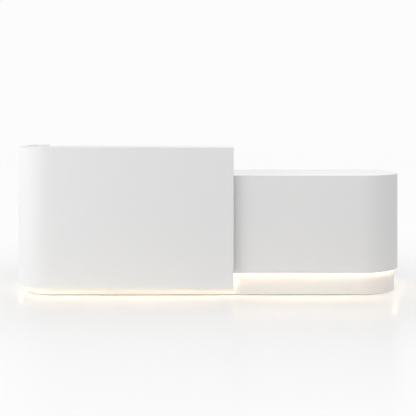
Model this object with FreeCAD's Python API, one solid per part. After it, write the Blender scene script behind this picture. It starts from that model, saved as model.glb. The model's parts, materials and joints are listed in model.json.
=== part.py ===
import FreeCAD, Part
import math
import os

# Reception desk. A tall wrapped front with a transaction shelf stands at the left, a lower counter
# with a rounded end at the right, and both float over a recessed plinth that is lit from above.
# The staff side has a worktop with a kneehole, a drawer stack and a cupboard.
# Millimetres. +X is the visitor's right, +Y the staff side, +Z up, origin on the floor at mid desk.

# Overall sizes
LENGTH = 2860.0
BODY_DEPTH = 660.0
TALL_HEIGHT = 1067.0
LOW_HEIGHT = 864.0

# Wrapped tall front and its shelf
FASCIA_T = 6.0
BATTEN_T = 38.0
BATTEN_W = 45.0
BATTEN_COUNT = 4
FREE_EDGE = 10.0
FASCIA_RUN = 1604.0
FASCIA_CLEAR = 62.0
FRONT_LEFT_R = 292.0
BACK_LEFT_R = 40.0
PIER_WIDTH = 131.0
SHELF_DEPTH = 373.0
SHELF_T = 28.0
CAP_T = 12.0
EDGE_R = 3.0
FASCIA_EDGE_R = 4.0

# Low counter with its rounded end
FRONT_RIGHT_R = 328.0
BACK_RIGHT_R = 200.0
STILE_RUN = 240.0
COUNTER_T = 28.0
SKIN_T = 18.0
SKIN_OVERLAP = 24.0
FORMER_COUNT = 2

# Boards and fits
BOARD_T = 18.0
FIT = 0.3
REVEAL = 2.0

# Plinth, glides and light
BODY_CLEAR = 162.0
PLINTH_INSET = 26.0
PLINTH_T = 18.0
TOE_RECESS = 94.0
WALL_BASE = 136.0
WALL_TIES = 3
GLIDE_H = 3.0
GLIDE_SIDE = 16.0
CHANNEL_W = 14.0
CHANNEL_H = 12.0
CHANNEL_WALL = 1.5
TALL_RECESS = 3.0
RISER_RECESS = 4.0
TAPE_W = 8.0
TAPE_T = 1.2
DIFFUSER_T = 2.0

# Staff worktop and what hangs under it
WORKTOP_HEIGHT = 740.0
WORKTOP_T = 28.0
CLEAT_H = 40.0
CLEAT_T = 25.0
BRACKET_COUNT = 2
BRACKET_W = 40.0
BRACKET_T = 5.0
BRACKET_DROP = 190.0
BRACKET_SHORT = 45.0
GROMMET_HOLE_R = 40.0
GROMMET_WALL = 3.0
GROMMET_FLANGE = 6.0
GROMMET_LIP = 2.5
GROMMET_FROM_END = 260.0
GROMMET_FROM_WALL = 90.0
TRAY_LENGTH = 700.0
TRAY_DEPTH = 90.0
TRAY_DROP = 60.0
TRAY_BACK_H = 70.0
TRAY_LIP_H = 35.0
TRAY_GAUGE = 1.5
DRIVER_SIZE = (190.0, 44.0, 32.0)
INLET_SIZE = (15.0, 26.0, 18.0)

# Drawer stack
STACK_W = 422.0
FRONT_T = 18.0
FRONT_SETBACK = 30.0
BUMPER = 1.5
FILE_FRONT_H = 330.0
BOX_T = 12.0
BOX_BOTTOM_T = 6.0
BOX_BOTTOM_RAISE = 10.0
BOX_RAISE = 22.0
BOX_HEADROOM = 34.0
RUNNER_L = 450.0
RUNNER_H = 45.0
RUNNER_T = 12.7
RUNNER_GAUGE = 1.5
RUNNER_PLAY = 0.6
RUNNER_RAISE = 8.0
RUNNER_SETBACK = 3.0

# Pulls
PULL_LENGTH = 200.0
PULL_CENTRES = 128.0
PULL_SIDE = 8.0
PULL_REACH = 22.0
PULL_BELOW_TOP = 50.0
DOOR_PULL_IN = 45.0

# Cupboard door and shelf
HINGE_H = 70.0
HINGE_INSET = 110.0
LEAF_T = 2.0
LEAF_W = 22.0
KNUCKLE_R = 4.0
PIN_R = 2.0
PIN_PLAY = 0.05
KNUCKLE_GAP = 0.5
BARREL_IN = 5.0
BARREL_OUT = 5.0
CUPBOARD_SHELF_Z = 500.0
SHELF_SIDE_GAP = 0.5
SHELF_BACK_GAP = 20.0
SUPPORT_SIZE = 16.0

# Lines and levels that follow from the sizes above
LEFT = -LENGTH / 2
RIGHT = LENGTH / 2
BODY_SET = FASCIA_T + BATTEN_T
DEPTH = BODY_DEPTH + BODY_SET
FRONT = -DEPTH / 2
BACK = DEPTH / 2
SHELL_FRONT = FRONT + FASCIA_T
SHELL_LEFT = LEFT + FASCIA_T
SHELL_R = FRONT_LEFT_R - FASCIA_T
BODY_FRONT = FRONT + BODY_SET
BODY_LEFT = LEFT + BODY_SET
BODY_LEFT_R = FRONT_LEFT_R - BODY_SET
RETURN_FACE = BACK - FASCIA_T
RETURN_R = BACK_LEFT_R - FASCIA_T
SIDE_END = RETURN_FACE - RETURN_R
FASCIA_END = LEFT + FASCIA_RUN
PIER_FACE = LEFT + PIER_WIDTH
SHELF_UNDER = TALL_HEIGHT - SHELF_T
SHELF_BACK = FRONT + SHELF_DEPTH
JOIN_X = FASCIA_END - SKIN_OVERLAP
COUNTER_UNDER = LOW_HEIGHT - COUNTER_T
STILE_X = RIGHT - STILE_RUN
DECK_TOP = BODY_CLEAR + BOARD_T
SKIN_GAP = SKIN_T + FIT
SKIN_FACE = BODY_FRONT + SKIN_GAP
LINING_GAP = 2 * FIT + BOARD_T
LINING_FACE = BODY_FRONT + FIT + BOARD_T
PLINTH_GAP = PLINTH_INSET + PLINTH_T + FIT
WALL_BACK = BODY_FRONT + WALL_BASE
WORKTOP_UNDER = WORKTOP_HEIGHT - WORKTOP_T
FRONTS_OUT = BACK - FRONT_SETBACK
FRONTS_IN = FRONTS_OUT - FRONT_T
CARCASS_BACK = FRONTS_IN - BUMPER
RUNNER_FRONT = FRONTS_IN - RUNNER_SETBACK
TOE_FACE = BACK - TOE_RECESS
STACK_LEFT = JOIN_X + BOARD_T
STACK_RIGHT = STACK_LEFT + STACK_W
CUPBOARD_LEFT = STACK_RIGHT + BOARD_T
CUPBOARD_RIGHT = STILE_X - BOARD_T
SPLIT_X = STACK_RIGHT + BOARD_T / 2
FRONTS_LOW = BODY_CLEAR + REVEAL
FRONTS_HIGH = COUNTER_UNDER - REVEAL
HINGE_X = CUPBOARD_RIGHT - BARREL_IN
HINGE_Y = FRONTS_OUT + BARREL_OUT
PLINTH_BACK = RETURN_FACE - PLINTH_INSET
LIGHT_LIP = SKIN_T - CHANNEL_W - 2 * FIT
LOW_LIGHT = DECK_TOP - CHANNEL_H
TALL_LIGHT = FASCIA_CLEAR + TALL_RECESS
RISER_X = FASCIA_END - RISER_RECESS
TINY = 1e-6

UP = FreeCAD.Vector(0, 0, 1)
ALONG = FreeCAD.Vector(1, 0, 0)


def point(x, y, z=0.0):
    return FreeCAD.Vector(x, y, z)


def outline(corners):
    """Closed wire through corners (x, y, radius), each corner rounded by its radius."""
    count = len(corners)
    bends = []
    for i, (x, y, radius) in enumerate(corners):
        here = point(x, y)
        if radius < TINY:
            bends.append((here, None, here))
            continue
        back = (point(*corners[i - 1][:2]) - here).normalize()
        ahead = (point(*corners[(i + 1) % count][:2]) - here).normalize()
        half = back.getAngle(ahead) / 2
        reach = radius / math.tan(half)
        middle = here + (back + ahead).normalize() * (radius / math.sin(half) - radius)
        bends.append((here + back * reach, middle, here + ahead * reach))
    edges = []
    for i, (start, middle, end) in enumerate(bends):
        if middle is not None:
            edges.append(Part.Arc(start, middle, end).toShape())
        follow = bends[(i + 1) % count][0]
        if end.distanceToPoint(follow) > TINY:
            edges.append(Part.makeLine(end, follow))
    return Part.Wire(edges)


def plate(corners, low, high):
    """Flat board or bent wall: the outline of its plan, from one level to another."""
    face = Part.Face(outline(corners))
    face.translate(point(0, 0, low))
    return face.extrude(UP * (high - low))


def block(x_low, x_high, y_low, y_high, z_low, z_high):
    corner = point(x_low, y_low, z_low)
    return Part.makeBox(x_high - x_low, y_high - y_low, z_high - z_low, corner)


def rod(radius, start, direction, length):
    return Part.makeCylinder(radius, length, start, direction)


def join(shapes):
    return shapes[0].multiFuse(shapes[1:]).removeSplitter()


def soften_rim(shape, level, radius):
    """Round over the edges at one level that lie on the outside of the plan."""
    box = shape.BoundBox

    def on_side(vertex):
        p = vertex.Point
        gaps = (p.x - box.XMin, box.XMax - p.x, p.y - box.YMin, box.YMax - p.y)
        return min(gaps) < TINY * 100 and abs(p.z - level) < TINY * 100

    rim = [e for e in shape.Edges if all(on_side(v) for v in e.Vertexes)]
    return shape.makeFillet(radius, rim)


def body_line(offset, left_end, right_end):
    """The desk's body line from the left end's back, round the front, to the right end's back."""
    return [
        (BODY_LEFT + offset, left_end, 0),
        (BODY_LEFT + offset, BODY_FRONT + offset, BODY_LEFT_R - offset),
        (RIGHT - offset, BODY_FRONT + offset, FRONT_RIGHT_R - offset),
        (RIGHT - offset, BACK - offset, BACK_RIGHT_R - offset),
        (right_end, BACK - offset, 0),
    ]


def plinth_line(offset):
    return body_line(offset, PLINTH_BACK, STILE_X)


def low_line(offset):
    """The low counter's part of the body line, from the join round the end to the stile."""
    return [(JOIN_X, BODY_FRONT + offset, 0)] + body_line(offset, 0, STILE_X)[2:]


def tall_line(offset):
    """The part of the body line behind the fascia, from the left end's back to the fascia's end."""
    return body_line(offset, SIDE_END, 0)[:2] + [(RISER_X, BODY_FRONT + offset, 0)]


def wall_along(line, near, far, low, high):
    """A wall or strip that follows a line between two inward offsets from it."""
    return plate(line(near) + line(far)[::-1], low, high)


def trim_to_walls(shape, offset):
    """Cut a board back to the room inside the body line, at an inward offset, open at the back."""
    corners = [
        (BODY_LEFT + offset, BACK, 0),
        (BODY_LEFT + offset, BODY_FRONT + offset, BODY_LEFT_R - offset),
        (RIGHT - offset, BODY_FRONT + offset, FRONT_RIGHT_R - offset),
        (RIGHT - offset, BACK, 0),
    ]
    return shape.common(plate(corners, shape.BoundBox.ZMin, shape.BoundBox.ZMax))


def trim_to_end(shape, offset):
    """Cut a board back to the room inside the rounded end, its back corner included."""
    corners = body_line(offset, BACK - offset, JOIN_X)
    return shape.common(plate(corners, shape.BoundBox.ZMin, shape.BoundBox.ZMax))


def fascia_shell():
    corners = [
        (FASCIA_END, FRONT, FASCIA_EDGE_R),
        (LEFT, FRONT, FRONT_LEFT_R),
        (LEFT, BACK, BACK_LEFT_R),
        (PIER_FACE, BACK, 0),
        (PIER_FACE, RETURN_FACE, 0),
        (SHELL_LEFT, RETURN_FACE, RETURN_R),
        (SHELL_LEFT, SHELL_FRONT, SHELL_R),
        (FASCIA_END, SHELL_FRONT, 0),
    ]
    return soften_rim(plate(corners, FASCIA_CLEAR, TALL_HEIGHT), TALL_HEIGHT, EDGE_R)


def fascia_battens():
    """Upright battens that hold the fascia off the lining, the last one set back from its free edge."""
    start = LEFT + FRONT_LEFT_R
    pitch = (FASCIA_END - FREE_EDGE - BATTEN_W - start) / (BATTEN_COUNT - 1)
    battens = []
    for i in range(BATTEN_COUNT):
        x = start + pitch * i
        battens.append(block(x, x + BATTEN_W, SHELL_FRONT, BODY_FRONT, BODY_CLEAR, SHELF_UNDER))
    y = (FRONT + FRONT_LEFT_R + BACK - BACK_LEFT_R - BATTEN_W) / 2
    battens.append(block(SHELL_LEFT, BODY_LEFT, y, y + BATTEN_W, BODY_CLEAR, SHELF_UNDER))
    return Part.makeCompound(battens)


def transaction_shelf():
    corners = [
        (FASCIA_END, SHELL_FRONT, 0),
        (SHELL_LEFT + FIT, SHELL_FRONT, SHELL_R - FIT),
        (SHELL_LEFT + FIT, SHELF_BACK, 0),
        (FASCIA_END, SHELF_BACK, EDGE_R),
    ]
    return plate(corners, SHELF_UNDER, TALL_HEIGHT)


def front_lining():
    near = FIT
    far = FIT + BOARD_T
    corners = [
        (JOIN_X, BODY_FRONT + near, 0),
        (BODY_LEFT + near, BODY_FRONT + near, BODY_LEFT_R - near),
        (BODY_LEFT + near, SIDE_END, 0),
        (BODY_LEFT + far, SIDE_END, 0),
        (BODY_LEFT + far, BODY_FRONT + far, BODY_LEFT_R - far),
        (JOIN_X, BODY_FRONT + far, 0),
    ]
    return plate(corners, DECK_TOP, SHELF_UNDER)


def wall_deck():
    corners = [
        (JOIN_X, BODY_FRONT + FIT, 0),
        (BODY_LEFT + FIT, BODY_FRONT + FIT, BODY_LEFT_R - FIT),
        (BODY_LEFT + FIT, RETURN_FACE, RETURN_R),
        (PIER_FACE, RETURN_FACE, 0),
        (PIER_FACE, WALL_BACK, 0),
        (JOIN_X, WALL_BACK, 0),
    ]
    return plate(corners, BODY_CLEAR, DECK_TOP)


def pier_gable():
    board = block(PIER_FACE - BOARD_T, PIER_FACE, BODY_FRONT, RETURN_FACE, DECK_TOP, SHELF_UNDER)
    return trim_to_walls(board, LINING_GAP)


def pier_cap():
    corners = [
        (SHELL_LEFT + FIT, SHELF_BACK, 0),
        (PIER_FACE, SHELF_BACK, 0),
        (PIER_FACE, RETURN_FACE, 0),
        (SHELL_LEFT + FIT, RETURN_FACE, RETURN_R),
    ]
    return plate(corners, SHELF_UNDER, SHELF_UNDER + CAP_T)


def end_cheek():
    return block(JOIN_X, STACK_LEFT, BODY_FRONT, SHELF_BACK, COUNTER_UNDER, SHELF_UNDER)


def drum_skin():
    """Bent wall of the low body, rebated at its foot for the light channel, behind a thin lip."""
    rebate = wall_along(low_line, LIGHT_LIP, SKIN_T, BODY_CLEAR, DECK_TOP)
    return wall_along(low_line, 0, SKIN_T, BODY_CLEAR, COUNTER_UNDER).cut(rebate)


def cabinet_deck():
    """Floor of the cabinet and of the rounded end, notched behind the drawer and door fronts."""
    floor = block(JOIN_X, STILE_X, BODY_FRONT, CARCASS_BACK, BODY_CLEAR, DECK_TOP)
    end = block(STILE_X, RIGHT, BODY_FRONT, BACK, BODY_CLEAR, DECK_TOP)
    return trim_to_end(join([floor, end]), SKIN_GAP)


def drum_formers():
    pitch = (COUNTER_UNDER - DECK_TOP) / (FORMER_COUNT + 1)
    formers = []
    for i in range(FORMER_COUNT):
        z = DECK_TOP + pitch * (i + 1)
        formers.append(trim_to_end(block(STILE_X, RIGHT, BODY_FRONT, BACK, z, z + BOARD_T), SKIN_GAP))
    return Part.makeCompound(formers)


def low_counter_top():
    """Slab of the low counter, notched round the end cheek."""
    notch = [(JOIN_X, SHELF_BACK, 0), (STACK_LEFT, SHELF_BACK, 0), (STACK_LEFT, BODY_FRONT, 0)]
    corners = notch + body_line(0, 0, JOIN_X)[2:]
    return soften_rim(plate(corners, COUNTER_UNDER, LOW_HEIGHT), LOW_HEIGHT, EDGE_R)


def cabinet_board(x_low, y_high):
    board = block(x_low, x_low + BOARD_T, BODY_FRONT, y_high, DECK_TOP, COUNTER_UNDER)
    return trim_to_walls(board, SKIN_GAP)


def mid_gable():
    tail = block(JOIN_X, STACK_LEFT, CARCASS_BACK, BACK, BODY_CLEAR, COUNTER_UNDER)
    return join([cabinet_board(JOIN_X, CARCASS_BACK), tail])


def right_gable():
    tail = block(CUPBOARD_RIGHT, STILE_X, CARCASS_BACK, BACK, BODY_CLEAR, COUNTER_UNDER)
    return join([cabinet_board(CUPBOARD_RIGHT, CARCASS_BACK), tail])


def plinth_skin():
    return wall_along(plinth_line, PLINTH_INSET, PLINTH_INSET + PLINTH_T, GLIDE_H, BODY_CLEAR)


def plinth_wall_rails():
    """Rails behind the front wall and the pier, and the short end that closes the pier's base."""
    pier_inner = PIER_FACE - PLINTH_T
    skin_inner = BODY_LEFT + PLINTH_INSET + PLINTH_T
    front = block(PIER_FACE, JOIN_X, WALL_BACK - PLINTH_T, WALL_BACK, GLIDE_H, BODY_CLEAR)
    side = block(pier_inner, PIER_FACE, BODY_FRONT, PLINTH_BACK, GLIDE_H, BODY_CLEAR)
    close = block(skin_inner, pier_inner, PLINTH_BACK - PLINTH_T, PLINTH_BACK, GLIDE_H, BODY_CLEAR)
    return Part.makeCompound([trim_to_walls(rail, PLINTH_GAP) for rail in (front, side, close)])


def plinth_rear_rail():
    return block(STACK_LEFT, CUPBOARD_RIGHT, TOE_FACE - PLINTH_T, TOE_FACE, GLIDE_H, BODY_CLEAR)


def cabinet_tie_spans():
    """Left side and back end of each cross piece under the cabinet's upright boards."""
    skin_end = BACK - PLINTH_INSET - PLINTH_T
    return [(JOIN_X, TOE_FACE), (STACK_RIGHT, TOE_FACE - PLINTH_T), (CUPBOARD_RIGHT, skin_end)]


def wall_tie_spans():
    """Left side and back end of each short cross piece behind the front wall."""
    pitch = (JOIN_X - PIER_FACE) / (WALL_TIES + 1)
    return [(PIER_FACE + pitch * (i + 1), WALL_BACK - PLINTH_T) for i in range(WALL_TIES)]


def plinth_ties():
    ties = []
    for x, y_high in cabinet_tie_spans() + wall_tie_spans():
        tie = block(x, x + BOARD_T, BODY_FRONT, y_high, GLIDE_H, BODY_CLEAR)
        ties.append(trim_to_walls(tie, PLINTH_GAP))
    return Part.makeCompound(ties)


def glides():
    """Nail-on pads under the plinth, set back out of sight behind its front."""
    half = BOARD_T / 2
    front = BODY_FRONT + PLINTH_GAP + GLIDE_SIDE
    spots = [(x + half, front) for x, y_high in cabinet_tie_spans() + wall_tie_spans()]
    spots += [(x + half, y_high - GLIDE_SIDE) for x, y_high in cabinet_tie_spans()]
    spots.append((PIER_FACE - PLINTH_T / 2, PLINTH_BACK - GLIDE_SIDE))
    spots.append((BODY_LEFT + PLINTH_INSET + PLINTH_T, BODY_FRONT + BODY_LEFT_R))
    spots.append((RIGHT - PLINTH_INSET - PLINTH_T, BODY_FRONT + FRONT_RIGHT_R))
    r = GLIDE_SIDE / 2
    return Part.makeCompound([block(x - r, x + r, y - r, y + r, 0, GLIDE_H) for x, y in spots])


def light_runs(side, far_side, mouth, deep):
    """One profile of the light line in its three runs: under the low body, behind the fascia's lower edge
    and up behind the fascia's end. Widths start at the channel's outer side, depths at its mouth."""
    near = LIGHT_LIP + FIT + side
    far = LIGHT_LIP + FIT + far_side
    low = wall_along(low_line, near, far, LOW_LIGHT + mouth, LOW_LIGHT + deep)
    y_low = BODY_FRONT + near
    y_high = BODY_FRONT + far
    riser = block(RISER_X - deep, RISER_X - mouth, y_low, y_high, TALL_LIGHT, LOW_LIGHT)
    near = FIT - BATTEN_T + side
    far = FIT - BATTEN_T + far_side
    tall = wall_along(tall_line, near, far, TALL_LIGHT + mouth, TALL_LIGHT + deep)
    return low, tall, riser


def led_channel():
    """Aluminium channels of the light line, their mouths turned to the plinth and the floor."""
    walls_deep = CHANNEL_H - CHANNEL_WALL
    roofs = light_runs(0, CHANNEL_W, walls_deep, CHANNEL_H)
    outer_walls = light_runs(0, CHANNEL_WALL, 0, walls_deep)
    inner_walls = light_runs(CHANNEL_W - CHANNEL_WALL, CHANNEL_W, 0, walls_deep)
    return Part.makeCompound([join(walls) for walls in zip(roofs, outer_walls, inner_walls)])


def led_tape():
    side = (CHANNEL_W - TAPE_W) / 2
    deep = CHANNEL_H - CHANNEL_WALL
    return Part.makeCompound(light_runs(side, side + TAPE_W, deep - TAPE_T, deep))


def led_diffuser():
    side = CHANNEL_WALL + FIT
    return Part.makeCompound(light_runs(side, CHANNEL_W - side, 0, DIFFUSER_T))


def grommet_places():
    y = LINING_FACE + GROMMET_FROM_WALL
    return [(PIER_FACE + GROMMET_FROM_END, y), (JOIN_X - GROMMET_FROM_END, y)]


def worktop():
    board = block(PIER_FACE, JOIN_X, BODY_FRONT, BACK, WORKTOP_UNDER, WORKTOP_HEIGHT)
    board = trim_to_walls(board, LINING_GAP)
    for x, y in grommet_places():
        board = board.cut(rod(GROMMET_HOLE_R, point(x, y, WORKTOP_UNDER), UP, WORKTOP_T))
        rebate = point(x, y, WORKTOP_HEIGHT - GROMMET_LIP)
        board = board.cut(rod(GROMMET_HOLE_R + GROMMET_FLANGE, rebate, UP, GROMMET_LIP))
    return board


def cable_grommets():
    """Liners in the worktop's cable holes, their flanges let in flush with its top."""
    liners = []
    outer = GROMMET_HOLE_R - FIT
    for x, y in grommet_places():
        foot = point(x, y, WORKTOP_UNDER)
        sleeve = rod(outer, foot, UP, WORKTOP_T)
        rebate = point(x, y, WORKTOP_HEIGHT - GROMMET_LIP)
        flange = rod(outer + GROMMET_FLANGE, rebate, UP, GROMMET_LIP)
        liners.append(join([sleeve, flange]).cut(rod(outer - GROMMET_WALL, foot, UP, WORKTOP_T)))
    return Part.makeCompound(liners)


def worktop_cleats():
    """Battens under the worktop, on the lining and on both upright boards."""
    low = WORKTOP_UNDER - CLEAT_H
    start = LEFT + FRONT_LEFT_R
    wall = block(start, JOIN_X - CLEAT_T, LINING_FACE, LINING_FACE + CLEAT_T, low, WORKTOP_UNDER)
    y_low = BODY_FRONT + BODY_LEFT_R
    pier = block(PIER_FACE, PIER_FACE + CLEAT_T, y_low, RETURN_FACE, low, WORKTOP_UNDER)
    gable = block(JOIN_X - CLEAT_T, JOIN_X, LINING_FACE + CLEAT_T, RETURN_FACE, low, WORKTOP_UNDER)
    return Part.makeCompound([wall, pier, gable])


def shelf_brackets():
    """Steel angle brackets with a gusset, under the shelf's overhang."""
    reach = SHELF_BACK - BRACKET_SHORT
    low = SHELF_UNDER - BRACKET_DROP
    pitch = (JOIN_X - PIER_FACE) / (BRACKET_COUNT + 1)
    brackets = []
    for i in range(BRACKET_COUNT):
        x = PIER_FACE + pitch * (i + 1)
        left = x - BRACKET_W / 2
        right = x + BRACKET_W / 2
        upright = block(left, right, LINING_FACE, LINING_FACE + BRACKET_T, low, SHELF_UNDER)
        arm = block(left, right, LINING_FACE, reach, SHELF_UNDER - BRACKET_T, SHELF_UNDER)
        corners = [
            point(x - BRACKET_T / 2, LINING_FACE, low),
            point(x - BRACKET_T / 2, reach, SHELF_UNDER - BRACKET_T),
            point(x - BRACKET_T / 2, LINING_FACE, SHELF_UNDER - BRACKET_T),
        ]
        gusset = Part.Face(Part.makePolygon(corners + corners[:1])).extrude(ALONG * BRACKET_T)
        brackets.append(join([upright, arm, gusset]))
    return Part.makeCompound(brackets)


def cable_tray():
    """Folded steel tray on the lining, under the worktop's wall batten."""
    middle = (PIER_FACE + JOIN_X) / 2
    x_low = middle - TRAY_LENGTH / 2
    x_high = middle + TRAY_LENGTH / 2
    low = WORKTOP_UNDER - CLEAT_H - TRAY_DROP - TRAY_BACK_H
    edge = LINING_FACE + TRAY_DEPTH
    back = block(x_low, x_high, LINING_FACE, LINING_FACE + TRAY_GAUGE, low, low + TRAY_BACK_H)
    floor = block(x_low, x_high, LINING_FACE, edge, low, low + TRAY_GAUGE)
    lip = block(x_low, x_high, edge - TRAY_GAUGE, edge, low, low + TRAY_LIP_H)
    return join([back, floor, lip])


def led_driver():
    """Power unit for the light, on the wall deck, with a mains inlet in its end."""
    length, width, height = DRIVER_SIZE
    deep, wide, tall = INLET_SIZE
    x = (PIER_FACE + JOIN_X) / 2
    case = block(x, x + length, LINING_FACE, LINING_FACE + width, DECK_TOP, DECK_TOP + height)
    y = LINING_FACE + (width - wide) / 2
    z = DECK_TOP + (height - tall) / 2
    return case.cut(block(x, x + deep, y, y + wide, z, z + tall))


def drawer_levels():
    """Lower edge and height of each drawer front, from the top drawer down."""
    box_h = (FRONTS_HIGH - FRONTS_LOW - FILE_FRONT_H - 2 * REVEAL) / 2
    top = FRONTS_HIGH - box_h
    middle = top - REVEAL - box_h
    return [("top_drawer", top, box_h), ("middle_drawer", middle, box_h), ("file_drawer", FRONTS_LOW, FILE_FRONT_H)]


def fronts_edge():
    return SPLIT_X - REVEAL / 2


def drawer_front(low, height):
    return block(STACK_LEFT + REVEAL, fronts_edge(), FRONTS_IN, FRONTS_OUT, low, low + height)


def square_about(x, z, half_x, half_z, y_low, y_high):
    return block(x - half_x, x + half_x, y_low, y_high, z - half_z, z + half_z)


def pull_bar(x, z, along_x, along_z):
    """Square bar pull on two posts that stand on a front; it runs along X or along Z."""
    half = PULL_SIDE / 2
    y = FRONTS_OUT + PULL_REACH
    half_x = half + along_x * (PULL_LENGTH / 2 - half)
    half_z = half + along_z * (PULL_LENGTH / 2 - half)
    parts = [square_about(x, z, half_x, half_z, y - half, y + half)]
    for side in (-PULL_CENTRES / 2, PULL_CENTRES / 2):
        parts.append(square_about(x + side * along_x, z + side * along_z, half, half, FRONTS_OUT, y - half))
    return join(parts)


def drawer_pull(low, height):
    x = (STACK_LEFT + REVEAL + fronts_edge()) / 2
    return pull_bar(x, low + height - PULL_BELOW_TOP, 1, 0)


def box_span():
    """Outer sides, ends and levels that a drawer box keeps clear of its runners."""
    return STACK_LEFT + RUNNER_T, STACK_RIGHT - RUNNER_T, RUNNER_FRONT - RUNNER_L, FRONTS_IN


def box_sides(low, height):
    left, right, back, front = box_span()
    z_low = low + BOX_RAISE
    z_high = low + height - BOX_HEADROOM
    sides = [block(x, x + BOX_T, back, front, z_low, z_high) for x in (left, right - BOX_T)]
    return Part.makeCompound(sides)


def box_ends(low, height):
    left, right, back, front = box_span()
    z_low = low + BOX_RAISE
    z_high = low + height - BOX_HEADROOM
    ends = [block(left + BOX_T, right - BOX_T, y, y + BOX_T, z_low, z_high) for y in (back, front - BOX_T)]
    return Part.makeCompound(ends)


def box_bottom(low):
    left, right, back, front = box_span()
    z = low + BOX_RAISE + BOX_BOTTOM_RAISE
    return block(left + BOX_T, right - BOX_T, back + BOX_T, front - BOX_T, z, z + BOX_BOTTOM_T)


def runner_channel(web, lip, half, z):
    """One member of a runner: a channel whose web stands at one side and whose lips reach the other."""
    turn = 1 if lip > web else -1
    back = RUNNER_FRONT - RUNNER_L
    x_low, x_high = sorted((web, web + turn * RUNNER_GAUGE))
    pieces = [block(x_low, x_high, back, RUNNER_FRONT, z - half, z + half)]
    x_low, x_high = sorted((web, lip))
    for z_low in (z - half, z + half - RUNNER_GAUGE):
        pieces.append(block(x_low, x_high, back, RUNNER_FRONT, z_low, z_low + RUNNER_GAUGE))
    return join(pieces)


def runner_pair(member, low):
    """The left and right channels of one member: 0 on the cabinet, 1 between, 2 on the drawer."""
    z = low + BOX_RAISE + RUNNER_RAISE + RUNNER_H / 2
    step = RUNNER_GAUGE + RUNNER_PLAY
    half = RUNNER_H / 2 - step * member
    depth = RUNNER_T - 2 * step
    start = step * member
    webs = (start, start, RUNNER_T)
    lips = (depth, start + depth - RUNNER_GAUGE, start)
    pair = []
    for edge, turn in ((STACK_LEFT, 1), (STACK_RIGHT, -1)):
        pair.append(runner_channel(edge + turn * webs[member], edge + turn * lips[member], half, z))
    return pair


def door_edges():
    return SPLIT_X + REVEAL / 2, CUPBOARD_RIGHT - REVEAL


def cupboard_door():
    left, right = door_edges()
    return block(left, right, FRONTS_IN, FRONTS_OUT, FRONTS_LOW, FRONTS_HIGH)


def door_pull():
    x = door_edges()[0] + DOOR_PULL_IN
    z = FRONTS_HIGH - PULL_BELOW_TOP - PULL_LENGTH / 2
    return pull_bar(x, z, 0, 1)


def hinge_levels():
    return FRONTS_LOW + HINGE_INSET, FRONTS_HIGH - HINGE_INSET - HINGE_H


def hinge_knuckle(z_low, z_high):
    return rod(KNUCKLE_R, point(HINGE_X, HINGE_Y, z_low), UP, z_high - z_low)


def hinge_bore(z_low):
    return rod(PIN_R + PIN_PLAY, point(HINGE_X, HINGE_Y, z_low), UP, HINGE_H)


def hinge_frame_leaves():
    """Leaves on the right gable, with the upper and lower knuckles of each hinge."""
    leaves = []
    third = HINGE_H / 3
    for z in hinge_levels():
        y_free = HINGE_Y + KNUCKLE_R + KNUCKLE_GAP
        y_end = HINGE_Y + LEAF_W
        leaf = block(CUPBOARD_RIGHT - LEAF_T, CUPBOARD_RIGHT, y_free, y_end, z, z + HINGE_H)
        parts = [leaf]
        for z_low in (z, z + 2 * third):
            parts.append(block(CUPBOARD_RIGHT - LEAF_T, CUPBOARD_RIGHT, HINGE_Y, y_free, z_low, z_low + third))
            parts.append(hinge_knuckle(z_low, z_low + third))
        leaves.append(join(parts).cut(hinge_bore(z)))
    return Part.makeCompound(leaves)


def hinge_door_leaves():
    """Leaves on the door's outer face, with the middle knuckle of each hinge."""
    leaves = []
    third = HINGE_H / 3
    for z in hinge_levels():
        x_free = HINGE_X - KNUCKLE_R - KNUCKLE_GAP
        leaf = block(HINGE_X - LEAF_W, x_free, FRONTS_OUT, FRONTS_OUT + LEAF_T, z, z + HINGE_H)
        z_low = z + third + KNUCKLE_GAP
        z_high = z + 2 * third - KNUCKLE_GAP
        neck = block(x_free, HINGE_X, FRONTS_OUT, FRONTS_OUT + LEAF_T, z_low, z_high)
        leaves.append(join([leaf, neck, hinge_knuckle(z_low, z_high)]).cut(hinge_bore(z)))
    return Part.makeCompound(leaves)


def hinge_pins():
    pins = [rod(PIN_R, point(HINGE_X, HINGE_Y, z), UP, HINGE_H) for z in hinge_levels()]
    return Part.makeCompound(pins)


def cupboard_shelf():
    left = CUPBOARD_LEFT + SHELF_SIDE_GAP
    right = CUPBOARD_RIGHT - SHELF_SIDE_GAP
    edge = CARCASS_BACK - SHELF_BACK_GAP
    board = block(left, right, BODY_FRONT, edge, CUPBOARD_SHELF_Z, CUPBOARD_SHELF_Z + BOARD_T)
    return trim_to_walls(board, SKIN_GAP)


def shelf_supports():
    """Corner blocks that the cupboard shelf lies on."""
    blocks = []
    low = CUPBOARD_SHELF_Z - SUPPORT_SIZE
    for x in (CUPBOARD_LEFT, CUPBOARD_RIGHT - SUPPORT_SIZE):
        for y in (SKIN_FACE + SHELF_BACK_GAP, CARCASS_BACK - 2 * SHELF_BACK_GAP - SUPPORT_SIZE):
            blocks.append(block(x, x + SUPPORT_SIZE, y, y + SUPPORT_SIZE, low, CUPBOARD_SHELF_Z))
    return Part.makeCompound(blocks)


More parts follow.
